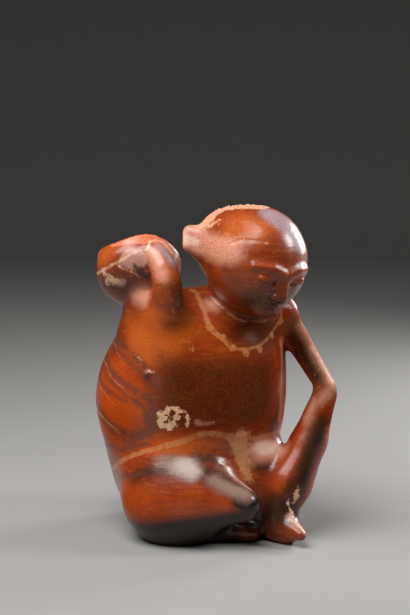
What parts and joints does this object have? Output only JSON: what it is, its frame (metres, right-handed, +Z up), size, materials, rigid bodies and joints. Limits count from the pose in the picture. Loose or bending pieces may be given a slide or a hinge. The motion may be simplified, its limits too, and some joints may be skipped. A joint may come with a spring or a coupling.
{
  "type": "anthropomorphic vase",
  "caption": "Hollow fired-clay vase in the form of a seated figure with bent head, one knee raised, holding a tilted bowl on its right shoulder; the bowl is the vessel's mouth.",
  "frame": {"origin": "on the flat underside, below the middle of the torso", "axes": "+Z up, -Y the way the figure's chest faces, +X the figure's left"},
  "size_m": [0.1731, 0.2149, 0.2851],
  "materials": {
    "burnished_clay": "burnished red slip with dark resist areas and cream lines over fired clay"
  },
  "bodies": {
    "root": {"seated_figure_vase": "burnished_clay"}
  },
  "joints": []
}
